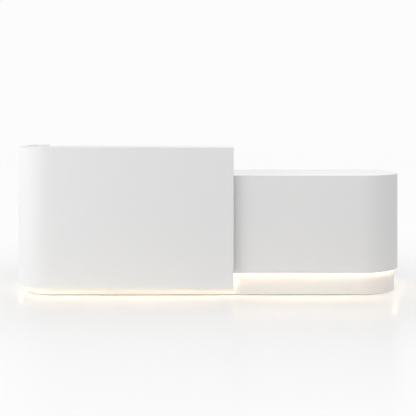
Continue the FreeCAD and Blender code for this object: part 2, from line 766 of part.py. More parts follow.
def desk_nodes():
    """Every piece of the desk by name."""
    nodes = {
        "fascia_shell": fascia_shell(),
        "fascia_battens": fascia_battens(),
        "transaction_shelf": transaction_shelf(),
        "front_lining": front_lining(),
        "wall_deck": wall_deck(),
        "pier_gable": pier_gable(),
        "pier_cap": pier_cap(),
        "end_cheek": end_cheek(),
        "drum_skin": drum_skin(),
        "drum_formers": drum_formers(),
        "low_counter_top": low_counter_top(),
        "cabinet_deck": cabinet_deck(),
        "mid_gable": mid_gable(),
        "cabinet_partition": cabinet_board(STACK_RIGHT, CARCASS_BACK),
        "right_gable": right_gable(),
        "plinth_skin": plinth_skin(),
        "plinth_wall_rails": plinth_wall_rails(),
        "plinth_rear_rail": plinth_rear_rail(),
        "plinth_ties": plinth_ties(),
        "glides": glides(),
        "led_channel": led_channel(),
        "led_tape": led_tape(),
        "led_diffuser": led_diffuser(),
        "led_driver": led_driver(),
        "worktop": worktop(),
        "cable_grommets": cable_grommets(),
        "worktop_cleats": worktop_cleats(),
        "shelf_brackets": shelf_brackets(),
        "cable_tray": cable_tray(),
        "cupboard_door": cupboard_door(),
        "door_pull": door_pull(),
        "hinge_frame_leaves": hinge_frame_leaves(),
        "hinge_door_leaves": hinge_door_leaves(),
        "hinge_pins": hinge_pins(),
        "cupboard_shelf": cupboard_shelf(),
        "shelf_supports": shelf_supports(),
    }
    rails = []
    for name, low, height in drawer_levels():
        nodes[name + "_front"] = drawer_front(low, height)
        nodes[name + "_sides"] = box_sides(low, height)
        nodes[name + "_ends"] = box_ends(low, height)
        nodes[name + "_bottom"] = box_bottom(low)
        nodes[name + "_pull"] = drawer_pull(low, height)
        nodes[name + "_inner_slides"] = Part.makeCompound(runner_pair(2, low))
        nodes[name + "_middle_slides"] = Part.makeCompound(runner_pair(1, low))
        rails += runner_pair(0, low)
    nodes["cabinet_slides"] = Part.makeCompound(rails)
    return nodes


def main():
    os.makedirs("parts", exist_ok=True)
    for name, shape in desk_nodes().items():
        shape.exportStep(os.path.join("parts", name + ".step"))


main()
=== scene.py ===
import bmesh
import bpy
import json
import math
from mathutils import Matrix, Vector


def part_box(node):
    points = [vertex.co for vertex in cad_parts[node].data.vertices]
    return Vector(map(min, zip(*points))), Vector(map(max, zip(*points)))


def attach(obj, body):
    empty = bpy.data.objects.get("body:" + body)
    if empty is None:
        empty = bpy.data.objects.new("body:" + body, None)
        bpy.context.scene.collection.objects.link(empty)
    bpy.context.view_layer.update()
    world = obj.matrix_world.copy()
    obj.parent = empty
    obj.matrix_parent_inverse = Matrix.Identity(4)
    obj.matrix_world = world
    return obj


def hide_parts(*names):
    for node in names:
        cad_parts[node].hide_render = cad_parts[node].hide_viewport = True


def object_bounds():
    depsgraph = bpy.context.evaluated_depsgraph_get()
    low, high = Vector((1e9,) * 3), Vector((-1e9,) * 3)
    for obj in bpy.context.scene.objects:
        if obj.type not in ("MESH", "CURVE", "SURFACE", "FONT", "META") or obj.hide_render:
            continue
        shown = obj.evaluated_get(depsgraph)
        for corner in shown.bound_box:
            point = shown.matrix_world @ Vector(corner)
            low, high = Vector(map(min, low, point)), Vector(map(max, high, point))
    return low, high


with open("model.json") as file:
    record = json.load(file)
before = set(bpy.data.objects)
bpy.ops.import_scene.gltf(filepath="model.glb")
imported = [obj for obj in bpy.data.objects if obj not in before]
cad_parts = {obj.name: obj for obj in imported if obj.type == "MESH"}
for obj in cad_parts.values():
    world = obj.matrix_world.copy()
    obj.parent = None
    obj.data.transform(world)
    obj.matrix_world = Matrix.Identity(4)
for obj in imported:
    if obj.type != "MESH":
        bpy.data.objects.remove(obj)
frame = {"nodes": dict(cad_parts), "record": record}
cad_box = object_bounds()
nodes = frame["nodes"]
body_of = {node: body for body, group in frame["record"]["behaviour"]["bodies"].items() for node in group}
slot_of = {subpart["node"]: subpart["material_slot"] for subpart in frame["record"]["subparts"]}

# Reception desk: finishes, small fittings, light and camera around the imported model. Metres.

# View of the photograph
CAMERA_PLACE = (-0.0088, -5.162, 1.2077)
CAMERA_LENS_MM = 58.535
CAMERA_SENSOR_MM = 36.0
CAMERA_SHIFT_Y = -0.1935

# Light of the room, and softboxes as name, place, target, width, height and power
AMBIENT = 0.47
BACKGROUND_WHITE = 0.974
SOFTBOXES = (
    ("side_light", (-4.2, -1.6, 1.7), (0, 0, 0.6), 3.2, 2.6, 30.0),
    ("front_side_light", (-3.8, -2.8, 1.7), (0, 0, 0.6), 2.4, 2.6, 35.0),
    ("front_fill", (1.4, -4.6, 1.5), (0.9, 0, 0.5), 2.4, 2.0, 7.0),
    ("overhead", (1.2, -0.6, 3.2), (0.6, 0, 0), 2.6, 2.2, 38.0),
    ("left_overhead", (-2.6, 0.2, 3.2), (-1.9, -0.1, 0), 1.8, 1.8, 10.0),
    ("back_fill", (0.3, 4.0, 0.5), (0, 0, 0.45), 3.6, 0.7, 30.0),
)

# Light line: its glow beside and behind the tall front, and what it throws over the floor
LOW_GLOW = (12.4, 9.2, 5.9)
TALL_GLOW = (9.8, 8.2, 6.0)
TALL_GLOW_Z = (0.072, 0.09)
LEFT_END_X = (-1.42, -1.2)
LEFT_END_GLOW = 0.7
SPILL_COLOUR = (1.0, 0.735, 0.46)
SPILL_Z = 0.15
SPILL_GAP = 0.01
SPILL_WIDTH = 0.03
SPILL_SHORT = 0.3
TALL_SPILL_POWER = 1.05
END_SPILL_POWER = 0.17
LOW_SPILL_POWER = 0.55

# Floor: its finish, and how it passes into the background away from the desk
FLOOR_SIZE = 60.0
FLOOR_WHITE = 0.8
FLOOR_POLISH = (0.18, 0.22)
FLOOR_POLISH_SCALE = 3.0
FLOOR_IOR = 1.42
FLOOR_MIRROR = 0.65
FLOOR_NEAR = 0.15
FLOOR_END = 0.5
FLOOR_FADE = 0.15
FLOOR_MOST = 0.955

# Finishes
LACQUER_WHITE = (0.88, 0.88, 0.88)
MELAMINE_WHITE = (0.84, 0.84, 0.835)
PLINTH_WHITE = (0.86, 0.86, 0.85)

# Edges of boards and fittings
DRAWERS = ("top_drawer", "middle_drawer", "file_drawer")
EASED_EDGES = {
    "worktop": 0.0012,
    "end_cheek": 0.001,
    "pier_gable": 0.001,
    "mid_gable": 0.001,
    "right_gable": 0.001,
    "cabinet_partition": 0.001,
    "cupboard_shelf": 0.001,
    "cupboard_door": 0.0012,
    "worktop_cleats": 0.001,
    "plinth_rear_rail": 0.001,
    "shelf_brackets": 0.0006,
    "shelf_supports": 0.0012,
    "door_pull": 0.0007,
}
DRAWER_EASED_EDGES = {"_front": 0.0012, "_sides": 0.0008, "_ends": 0.0008, "_pull": 0.0007}

# Shaping: what counts as one place, and the angles that tell corners from flats and curves
NEAR = 0.00002
MERGE = 0.00001
FLAT_ANGLE = math.radians(0.5)
CORNER_ANGLE = math.radians(35)
SMOOTH_ANGLE = math.radians(25)
ROUND_ANGLE = math.radians(40)
SMALL_EDGE = 0.0004

# Screws, buffers and peg holes; a low or flush head shows a share of its height
HEAD_R = 0.0035
HEAD_H = 0.002
HEAD_ROUND = 0.0009
HEAD_SIDES = 20
RECESS_R = 0.002
RECESS_HALF = 0.00045
RECESS_DEEP = 0.0011
FLUSH_HEAD = 0.2
LOW_HEAD = 0.6
BUFFER_R = 0.004
BUFFER_H = 0.0014
BUFFER_ROUND = 0.0008
BUFFER_SIDES = 24
BUFFER_INSET = 0.014
PEG_R = 0.0025
PEG_SIDES = 12
PEG_DEEP = 0.01
PEG_PITCH = 0.032
PEG_STEPS = 4

# Where the screws sit
HINGE_LEAF = 0.002
HINGE_LENGTH = 0.07
HINGE_SCREWS_Z = (0.013, 0.057)
HINGE_FRAME_SCREW_Y = 0.0075
HINGE_DOOR_SCREW_X = 0.0085
BRACKET_GAUGE = 0.005
BRACKET_HALF = 0.02
BRACKET_SCREW_SIDE = 0.0115
BRACKET_SCREW_END = 0.016
BRACKET_SCREW_UP = 0.11
BRACKET_SCREW_OUT = 0.13
RUNNER_GAUGE = 0.0015
RUNNER_SCREW_END = 0.03
PULL_POST = 0.064
TRAY_SCREWS = (0.06, 0.35, 0.65, 0.94)
TRAY_SCREW_DROP = 0.014

# Sheet fittings, and the boards of a drawer
DRAWER_BOARD = 0.012
TRAY_GAUGE = 0.0015
TRAY_LIP = 0.035
TRAY_CELLS = 14
TRAY_SLOT_EDGE = 0.008
TRAY_BEND = 0.003
RAIL_GAUGE = 0.0008
RAIL_PLAY = 0.0006
RAIL_SKIRT = 0.012
RAIL_RIDGE = 0.009
RAIL_END = 0.004
RAIL_EDGE = 0.00025

# Moulded fittings; inlet, pin and lug as length, width and height
GROMMET_FLANGE = 0.006
GROMMET_WALL = 0.003
GROMMET_LIP = 0.0025
GROMMET_ROUND = 0.0009
GROMMET_STEPS = 64
DRIVER_RIBS = 11
DRIVER_PLAIN_END = 0.03
DRIVER_GROOVE = 0.0018
DRIVER_GROOVE_EDGE = 0.0012
DRIVER_EDGE = 0.0009
INLET = (0.015, 0.026, 0.018)
INLET_PIN = (0.011, 0.0022, 0.005)
INLET_PINS_YZ = ((-0.007, -0.002), (0.007, -0.002), (0, 0.003))
LUG = (0.014, 0.024, 0.002)
LUG_LAP = 0.001
LUG_ROUND = 0.006


def add(tree, kind, **values):
    """One shader node; each value is one of its inputs or, failing that, one of its settings."""
    node = tree.nodes.new("ShaderNode" + kind)
    for name, value in values.items():
        if name in node.inputs:
            node.inputs[name].default_value = value
        else:
            setattr(node, name, value)
    return node


def worked_out(tree, kind, operation, *values):
    """What a maths node makes of sockets and plain values."""
    node = add(tree, kind, operation=operation)
    for socket, value in zip(node.inputs, values):
        if isinstance(value, bpy.types.NodeSocket):
            tree.links.new(value, socket)
        else:
            socket.default_value = value
    gives_number = kind == "Math" or operation == "LENGTH"
    return node.outputs["Value" if gives_number else "Vector"]


def ramp(tree, value, start, end, low=0.0, high=1.0):
    """Runs from low to high while a value runs from start to end."""
    node = add(tree, "MapRange")
    node.inputs["From Min"].default_value = start
    node.inputs["From Max"].default_value = end
    node.inputs["To Min"].default_value = low
    node.inputs["To Max"].default_value = high
    tree.links.new(value, node.inputs["Value"])
    return node.outputs["Result"]


def blend(tree, share, first, second):
    """One shader that passes into another as a share grows."""
    mix = add(tree, "MixShader")
    tree.links.new(share, mix.inputs[0])
    tree.links.new(first.outputs[0], mix.inputs[1])
    tree.links.new(second.outputs[0], mix.inputs[2])
    return mix


def finish_of(name, colour, roughness, metallic=0.0):
    """A new material with its plain values on the shader; gives material, tree and shader."""
    material = bpy.data.materials.new(name)
    material.use_nodes = True
    tree = material.node_tree
    shader = tree.nodes["Principled BSDF"]
    shader.inputs["Base Color"].default_value = (*colour, 1)
    shader.inputs["Roughness"].default_value = roughness
    shader.inputs["Metallic"].default_value = metallic
    return material, tree, shader


def noise(tree, scale, detail=2.0, stretch=(1, 1, 1)):
    """Noise over the piece itself, stretched along its axes where a grain asks for it."""
    place = add(tree, "TexCoord")
    mapping = add(tree, "Mapping", Scale=stretch)
    texture = add(tree, "TexNoise", Scale=scale, Detail=detail, Roughness=0.55)
    tree.links.new(place.outputs["Object"], mapping.inputs["Vector"])
    tree.links.new(mapping.outputs["Vector"], texture.inputs["Vector"])
    return texture.outputs["Fac"]


def tint(tree, shader, factor, colour, change):
    """Base colour that drifts by a share of itself either way."""
    mix = add(tree, "Mix", data_type="RGBA")
    low = tuple(channel * (1 - change) for channel in colour)
    high = tuple(min(channel * (1 + change), 1.0) for channel in colour)
    mix.inputs[6].default_value = (*low, 1)
    mix.inputs[7].default_value = (*high, 1)
    tree.links.new(factor, mix.inputs[0])
    tree.links.new(mix.outputs[2], shader.inputs["Base Color"])


def vary_gloss(tree, shader, factor, low, high):
    """Roughness that drifts between two values."""
    tree.links.new(ramp(tree, factor, 0, 1, low, high), shader.inputs["Roughness"])


def relief(tree, shader, height, strength, depth):
    """Fine unevenness of the surface."""
    bump = add(tree, "Bump", Strength=strength, Distance=depth)
    tree.links.new(height, bump.inputs["Height"])
    tree.links.new(bump.outputs["Normal"], shader.inputs["Normal"])


def white_lacquer():
    material, tree, shader = finish_of("white_lacquer", LACQUER_WHITE, 0.45)
    shader.inputs["Specular IOR Level"].default_value = 0.12
    tint(tree, shader, noise(tree, 2.5), LACQUER_WHITE, 0.006)
    vary_gloss(tree, shader, noise(tree, 11.0), 0.42, 0.50)
    relief(tree, shader, noise(tree, 420.0), 0.04, 0.0004)
    return material


def white_melamine():
    material, tree, shader = finish_of("white_melamine", MELAMINE_WHITE, 0.5)
    tint(tree, shader, noise(tree, 700.0), MELAMINE_WHITE, 0.012)
    vary_gloss(tree, shader, noise(tree, 40.0), 0.46, 0.56)
    relief(tree, shader, noise(tree, 1300.0, 3.0), 0.10, 0.0003)
    return material


def plinth_white():
    material, tree, shader = finish_of("plinth_white", PLINTH_WHITE, 0.45)
    tint(tree, shader, noise(tree, 14.0, 4.0), PLINTH_WHITE, 0.012)
    vary_gloss(tree, shader, noise(tree, 30.0), 0.40, 0.52)
    relief(tree, shader, noise(tree, 420.0), 0.04, 0.0004)
    return material


def shadow_black():
    # Painted shade: matt black on the battens in the gap behind the tall front's end, a dark sheet that
    # deepens the shadow line beside the step
    colour = (0.02, 0.02, 0.02)
    material, tree, shader = finish_of("shadow_black", colour, 0.7)
    tint(tree, shader, noise(tree, 40.0), colour, 0.2)
    vary_gloss(tree, shader, noise(tree, 60.0), 0.62, 0.78)
    relief(tree, shader, noise(tree, 600.0, 3.0), 0.15, 0.0004)
    return material


def drawer_foil():
    colour = (0.70, 0.68, 0.645)
    material, tree, shader = finish_of("drawer_foil", colour, 0.5)
    grain = noise(tree, 90.0, 6.0, (1, 0.06, 1))
    tint(tree, shader, grain, colour, 0.10)
    vary_gloss(tree, shader, grain, 0.44, 0.58)
    relief(tree, shader, grain, 0.12, 0.0004)
    return material


def bright_zinc():
    colour = (0.62, 0.63, 0.65)
    material, tree, shader = finish_of("bright_zinc", colour, 0.3, 1.0)
    cloud = noise(tree, 60.0, 5.0)
    tint(tree, shader, cloud, colour, 0.10)
    vary_gloss(tree, shader, cloud, 0.24, 0.42)
    relief(tree, shader, noise(tree, 300.0), 0.03, 0.0003)
    return material


def brushed_aluminium(name, stretch):
    colour = (0.76, 0.77, 0.78)
    material, tree, shader = finish_of(name, colour, 0.3, 1.0)
    brush = noise(tree, 900.0, 4.0, stretch)
    tint(tree, shader, brush, colour, 0.06)
    vary_gloss(tree, shader, brush, 0.24, 0.40)
    relief(tree, shader, brush, 0.08, 0.0003)
    return material


def powder_coat():
    colour = (0.74, 0.74, 0.735)
    material, tree, shader = finish_of("powder_coat", colour, 0.55)
    tint(tree, shader, noise(tree, 500.0), colour, 0.03)
    vary_gloss(tree, shader, noise(tree, 60.0), 0.48, 0.60)
    relief(tree, shader, noise(tree, 900.0, 3.0), 0.22, 0.0005)
    return material


def grey_plastic():
    colour = (0.34, 0.345, 0.35)
    material, tree, shader = finish_of("grey_plastic", colour, 0.5)
    tint(tree, shader, noise(tree, 25.0), colour, 0.04)
    vary_gloss(tree, shader, noise(tree, 50.0), 0.42, 0.56)
    relief(tree, shader, noise(tree, 1500.0, 3.0), 0.12, 0.0003)
    return material


def opal_diffuser():
    """Lit diffuser: the run behind the tall front is set dimmer, and fades round the desk's left end."""
    colour = (0.95, 0.93, 0.88)
    material, tree, shader = finish_of("opal_diffuser", colour, 0.5)
    tint(tree, shader, noise(tree, 30.0), colour, 0.03)
    place = add(tree, "TexCoord")
    split = add(tree, "SeparateXYZ")
    tree.links.new(place.outputs["Object"], split.inputs["Vector"])
    glow = add(tree, "Mix", data_type="RGBA")
    glow.inputs[6].default_value = (*TALL_GLOW, 1)
    glow.inputs[7].default_value = (*LOW_GLOW, 1)
    tree.links.new(ramp(tree, split.outputs["Z"], *TALL_GLOW_Z), glow.inputs[0])
    tree.links.new(glow.outputs[2], shader.inputs["Emission Color"])
    fade = ramp(tree, split.outputs["X"], *LEFT_END_X, LEFT_END_GLOW)
    tree.links.new(fade, shader.inputs["Emission Strength"])
    return material


def light_tape():
    colour = (0.80, 0.78, 0.70)
    material, tree, shader = finish_of("light_tape", colour, 0.45)
    tint(tree, shader, noise(tree, 60.0), colour, 0.10)
    return material


def paint_nodes():
    """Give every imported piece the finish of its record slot."""
    finishes = {
        "white_lacquer": white_lacquer(),
        "white_melamine": white_melamine(),
        "plinth_white": plinth_white(),
        # painted shade: the battens' matt black deepens the shadow in the gap beside the step
        "shadow_black": shadow_black(),
        "drawer_wood": drawer_foil(),
        "zinc_steel": bright_zinc(),
        "brushed_aluminium": brushed_aluminium("brushed_aluminium", (0.03, 1, 1)),
        "coated_steel": powder_coat(),
        "opal_diffuser": opal_diffuser(),
        "light_tape": light_tape(),
        "grey_plastic": grey_plastic(),
    }
    for subpart in frame["record"]["subparts"]:
        slots = nodes[subpart["node"]].data.materials
        slots.clear()
        slots.append(finishes[subpart["material_slot"]])
    return finishes


def work_on(piece):
    """Select one piece alone, as the one that is worked on."""
    bpy.ops.object.select_all(action="DESELECT")
    piece.select_set(True)
    bpy.context.view_layer.objects.active = piece


def set_size(name, size):
    """Name the primitive just added, give it its size and leave its place in its mesh."""
    piece = bpy.context.object
    piece.name = name
    piece.scale = size
    bpy.ops.object.transform_apply(location=True, rotation=True, scale=True)
    return piece


def block(name, low, high):
    """A block between two corners, as the start of a piece."""
    bpy.ops.object.select_all(action="DESELECT")
    low = Vector(low)
    high = Vector(high)
    bpy.ops.mesh.primitive_cube_add(size=1, location=(low + high) / 2)
    return set_size(name, high - low)


def rod(name, sides, radius, length, middle, turn=(0, 0, 0)):
    """An upright round bar, or one turned over, as the start of a piece."""
    bpy.ops.object.select_all(action="DESELECT")
    bpy.ops.mesh.primitive_cylinder_add(vertices=sides, radius=radius, depth=length,
                                        location=middle, rotation=turn)
    return set_size(name, (1, 1, 1))


def near(a, b):
    """Whether two places along an axis are the same."""
    return abs(a - b) < NEAR


def pick_faces(piece, test):
    """Select, in edit mode, only the faces whose middle and normal pass a test."""
    bpy.ops.mesh.select_mode(type="FACE")
    bpy.ops.mesh.select_all(action="DESELECT")
    shape = bmesh.from_edit_mesh(piece.data)
    for face in shape.faces:
        if test(face.calc_center_median(), face.normal):
            face.select_set(True)
    bmesh.update_edit_mesh(piece.data)


def pick_edges(piece, test, along=None):
    """Select, in edit mode, only the edges whose ends pass a test; with a direction, those along it."""
    bpy.ops.mesh.select_mode(type="EDGE")
    bpy.ops.mesh.select_all(action="DESELECT")
    shape = bmesh.from_edit_mesh(piece.data)
    for edge in shape.edges:
        first, last = (end.co for end in edge.verts)
        runs_along = along is None or (last - first).cross(Vector(along)).length < NEAR
        if runs_along and test(first) and test(last):
            edge.select_set(True)
    bmesh.update_edit_mesh(piece.data)


def pick_corners(piece, test):
    """Select, in edit mode, only the points that pass a test."""
    bpy.ops.mesh.select_mode(type="VERT")
    bpy.ops.mesh.select_all(action="DESELECT")
    shape = bmesh.from_edit_mesh(piece.data)
    for corner in shape.verts:
        if test(corner.co):
            corner.select_set(True)
    bmesh.update_edit_mesh(piece.data)


def pull_out(x, y, z):
    """Extrude what is selected, in edit mode, by a step."""
    bpy.ops.mesh.extrude_region_move(TRANSFORM_OT_translate={"value": (x, y, z)})


def cut_out(piece, cutter):
    """Take the cutter's shape out of a piece."""
    work_on(piece)
    hole = piece.modifiers.new("cut", "BOOLEAN")
    hole.object = cutter
    hole.operation = "DIFFERENCE"
    hole.solver = "EXACT"
    bpy.ops.object.modifier_apply(modifier=hole.name)
    bpy.data.objects.remove(cutter)


def thicken(piece, gauge, side):
    """Give a folded sheet its thickness: side is 1 along its normals, 0 both ways."""
    work_on(piece)
    sheet = piece.modifiers.new("gauge", "SOLIDIFY")
    sheet.thickness = gauge
    sheet.offset = side
    bpy.ops.object.modifier_apply(modifier=sheet.name)


def ease(piece, radius):
    """Eased edges where two faces meet at a corner; the curves of round parts stay smooth."""
    work_on(piece)
    eased = piece.modifiers.new("eased", "BEVEL")
    eased.width = radius
    eased.segments = 2
    eased.limit_method = "ANGLE"
    eased.angle_limit = CORNER_ANGLE
    bpy.ops.object.modifier_apply(modifier=eased.name)
    bpy.ops.object.shade_smooth_by_angle(angle=SMOOTH_ANGLE)


def copy_of(piece, name, place=Matrix()):
    """A copy with a mesh of its own, which the matrix puts in place."""
    copy = bpy.data.objects.new(name, piece.data.copy())
    bpy.context.collection.objects.link(copy)
    copy.data.transform(place)
    return copy


def joined(name, pieces):
    """Several pieces made one."""
    bpy.ops.object.select_all(action="DESELECT")
    for piece in pieces:
        piece.select_set(True)
    bpy.context.view_layer.objects.active = pieces[0]
    bpy.ops.object.join()
    pieces[0].name = name
    return pieces[0]


def fit(piece, body, slot, *stands_for):
    """Put a finished piece on its body, in its finish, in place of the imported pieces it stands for."""
    piece.data.materials.clear()
    piece.data.materials.append(finishes[slot])
    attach(piece, body)
    if stands_for:
        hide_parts(*stands_for)


def eased_piece(node, radius):
    """A packed board or fitting with its edges eased, in place of the sharp one."""
    piece = copy_of(nodes[node], node + "_eased")
    work_on(piece)
    bpy.ops.mesh.customdata_custom_splitnormals_clear()
    bpy.ops.object.mode_set(mode="EDIT")
    bpy.ops.mesh.select_all(action="SELECT")
    bpy.ops.mesh.remove_doubles(threshold=MERGE)
    bpy.ops.mesh.dissolve_limited(angle_limit=FLAT_ANGLE)
    bpy.ops.object.mode_set(mode="OBJECT")
    ease(piece, radius)
    fit(piece, body_of[node], slot_of[node], node)
    return piece


def peg_holes(board, face_x):
    """Two rows of holes that let the cupboard shelf be set higher or lower."""
    low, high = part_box("shelf_supports")
    inset = (high.z - low.z) / 2
    pegs = []
    for y in (low.y + inset, high.y - inset):
        for step in range(-PEG_STEPS, PEG_STEPS + 1):
            if step == 0:
                continue
            place = (face_x, y, low.z + inset + step * PEG_PITCH)
            pegs.append(rod("peg", PEG_SIDES, PEG_R, 2 * PEG_DEEP, place, (0, math.radians(90), 0)))
    cut_out(board, joined("pegs", pegs))


def ease_boards():
    """Boards, fronts and pulls with eased edges, and the cupboard's sides bored for its shelf."""
    eased = {node: eased_piece(node, radius) for node, radius in EASED_EDGES.items()}
    for drawer in DRAWERS:
        for ending, radius in DRAWER_EASED_EDGES.items():
            eased_piece(drawer + ending, radius)
    peg_holes(eased["cabinet_partition"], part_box("cabinet_partition")[1].x)
    peg_holes(eased["right_gable"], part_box("right_gable")[0].x)
    eased["door_pull"].data.materials[0] = brushed_aluminium("brushed_aluminium_upright", (1, 1, 0.03))


def screw_head():
    """A pan-head screw with a cross recess, facing up from the origin."""
    head = rod("screw_head", HEAD_SIDES, HEAD_R, HEAD_H, (0, 0, HEAD_H / 2))
    bpy.ops.object.mode_set(mode="EDIT")
    pick_edges(head, lambda end: near(end.z, HEAD_H))
    bpy.ops.mesh.bevel(offset=HEAD_ROUND, segments=2, affect="EDGES")
    bpy.ops.object.mode_set(mode="OBJECT")
    deep = HEAD_H - RECESS_DEEP
    cut_out(head, block("slot", (-RECESS_R, -RECESS_HALF, deep), (RECESS_R, RECESS_HALF, 2 * HEAD_H)))
    cut_out(head, block("slot", (-RECESS_HALF, -RECESS_R, deep), (RECESS_HALF, RECESS_R, 2 * HEAD_H)))
    work_on(head)
    bpy.ops.object.shade_smooth_by_angle(angle=ROUND_ANGLE)
    return head


def buffer_pad():
    """A soft round pad that a front closes on, facing up from the origin."""
    pad = rod("buffer_pad", BUFFER_SIDES, BUFFER_R, BUFFER_H, (0, 0, BUFFER_H / 2))
    bpy.ops.object.mode_set(mode="EDIT")
    pick_edges(pad, lambda end: near(end.z, BUFFER_H))
    bpy.ops.mesh.bevel(offset=BUFFER_ROUND, segments=3, affect="EDGES")
    bpy.ops.object.mode_set(mode="OBJECT")
    bpy.ops.object.shade_smooth_by_angle(angle=ROUND_ANGLE)
    return pad


def spread(master, name, body, slot, places, height=1.0):
    """Copies of a small part on one body, each at a point and facing a direction."""
    copies = []
    for point, facing in places:
        turn = Vector(facing).to_track_quat("Z", "Y").to_matrix().to_4x4()
        squeeze = Matrix.Diagonal((1, 1, height, 1))
        copies.append(copy_of(master, name, Matrix.Translation(Vector(point)) @ turn @ squeeze))
    fit(joined(name, copies), body, slot)


def hinge_screws(master):
    """Flush screws through both leaves of each hinge."""
    low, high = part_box("hinge_frame_leaves")
    door_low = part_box("hinge_door_leaves")[0]
    levels = [foot + rise for foot in (low.z, high.z - HINGE_LENGTH) for rise in HINGE_SCREWS_Z]
    frame_side = [((high.x - HINGE_LEAF, high.y - HINGE_FRAME_SCREW_Y, z), (-1, 0, 0)) for z in levels]
    door_side = [((door_low.x + HINGE_DOOR_SCREW_X, door_low.y + HINGE_LEAF, z), (0, 1, 0)) for z in levels]
    spread(master, "hinge_frame_screws", "desk", "zinc_steel", frame_side, FLUSH_HEAD)
    spread(master, "hinge_door_screws", "cupboard_door", "zinc_steel", door_side, FLUSH_HEAD)


def bracket_screws(master):
    """Screws through the shelf brackets, either side of the web of each."""
    low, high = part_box("shelf_brackets")
    places = []
    for middle in (low.x + BRACKET_HALF, high.x - BRACKET_HALF):
        for x in (middle - BRACKET_SCREW_SIDE, middle + BRACKET_SCREW_SIDE):
            for z in (low.z + BRACKET_SCREW_END, low.z + BRACKET_SCREW_UP):
                places.append(((x, low.y + BRACKET_GAUGE, z), (0, 1, 0)))
            for y in (high.y - BRACKET_SCREW_END, high.y - BRACKET_SCREW_OUT):
                places.append(((x, y, high.z - BRACKET_GAUGE), (0, 0, -1)))
    spread(master, "bracket_screws", "desk", "zinc_steel", places)


def runner_screws(master):
    """Screws that hold the inner members of the runners to the drawer boxes."""
    for drawer in DRAWERS:
        low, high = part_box(drawer + "_inner_slides")
        side_low, side_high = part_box(drawer + "_sides")
        z = (low.z + high.z) / 2
        places = []
        for y in (low.y + RUNNER_SCREW_END, (low.y + high.y) / 2, high.y - RUNNER_SCREW_END):
            places.append(((side_low.x - RUNNER_GAUGE, y, z), (-1, 0, 0)))
            places.append(((side_high.x + RUNNER_GAUGE, y, z), (1, 0, 0)))
        spread(master, drawer + "_runner_screws", drawer, "zinc_steel", places, LOW_HEAD)


def pull_screws(master):
    """Screws that hold each pull from the inside of its front."""
    for drawer in DRAWERS:
        low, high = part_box(drawer + "_pull")
        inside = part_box(drawer + "_front")[0].y - DRAWER_BOARD
        middle = (low + high) / 2
        places = [((middle.x + step, inside, middle.z), (0, -1, 0)) for step in (-PULL_POST, PULL_POST)]
        spread(master, drawer + "_pull_screws", drawer, "zinc_steel", places)
    low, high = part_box("door_pull")
    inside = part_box("cupboard_door")[0].y
    middle = (low + high) / 2
    places = [((middle.x, inside, middle.z + step), (0, -1, 0)) for step in (-PULL_POST, PULL_POST)]
    spread(master, "door_pull_screws", "cupboard_door", "zinc_steel", places, LOW_HEAD)


def front_buffers():
    """Pads behind the fronts, where they close on the partition between drawers and cupboard."""
    pad = buffer_pad()
    edge_low, edge_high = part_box("cabinet_partition")
    for drawer in DRAWERS:
        low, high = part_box(drawer + "_front")
        x = (edge_low.x + high.x) / 2
        places = [((x, low.y, z), (0, -1, 0)) for z in (low.z + BUFFER_INSET, high.z - BUFFER_INSET)]
        spread(pad, drawer + "_buffers", drawer, "grey_plastic", places)
    low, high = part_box("cupboard_door")
    x = (edge_high.x + low.x) / 2
    places = [((x, low.y, z), (0, -1, 0)) for z in (low.z + BUFFER_INSET, high.z - BUFFER_INSET)]
    spread(pad, "door_buffers", "cupboard_door", "grey_plastic", places)
    bpy.data.objects.remove(pad)


def cable_tray_sheet(master):
    """Cable tray folded from one sheet, with a row of slots in its floor for ties."""
    low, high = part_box("cable_tray")
    middle = (low + high) / 2
    bpy.ops.object.select_all(action="DESELECT")
    bpy.ops.mesh.primitive_grid_add(x_subdivisions=TRAY_CELLS, y_subdivisions=3, size=1,
                                    location=(middle.x, middle.y, low.z))
    tray = set_size("cable_tray_folded", (high.x - low.x, high.y - low.y, 1))
    bpy.ops.object.mode_set(mode="EDIT")
    pick_faces(tray, lambda centre, normal: near(centre.y, middle.y))
    bpy.ops.mesh.inset(thickness=TRAY_SLOT_EDGE, use_individual=True)
    bpy.ops.mesh.delete(type="FACE")
    pick_edges(tray, lambda end: near(end.y, low.y))
    pull_out(0, 0, high.z - low.z)
    pick_edges(tray, lambda end: near(end.y, high.y))
    pull_out(0, 0, TRAY_LIP)
    for y in (low.y, high.y):
        pick_edges(tray, lambda end: near(end.y, y) and near(end.z, low.z))
        bpy.ops.mesh.bevel(offset=TRAY_BEND, segments=3, affect="EDGES")
    bpy.ops.object.mode_set(mode="OBJECT")
    thicken(tray, TRAY_GAUGE, 1)
    ease(tray, SMALL_EDGE)
    fit(tray, "desk", "coated_steel", "cable_tray")
    places = []
    for share in TRAY_SCREWS:
        x = low.x + share * (high.x - low.x)
        places.append(((x, low.y + TRAY_GAUGE, high.z - TRAY_SCREW_DROP), (0, 1, 0)))
    spread(master, "cable_tray_screws", "desk", "zinc_steel", places)


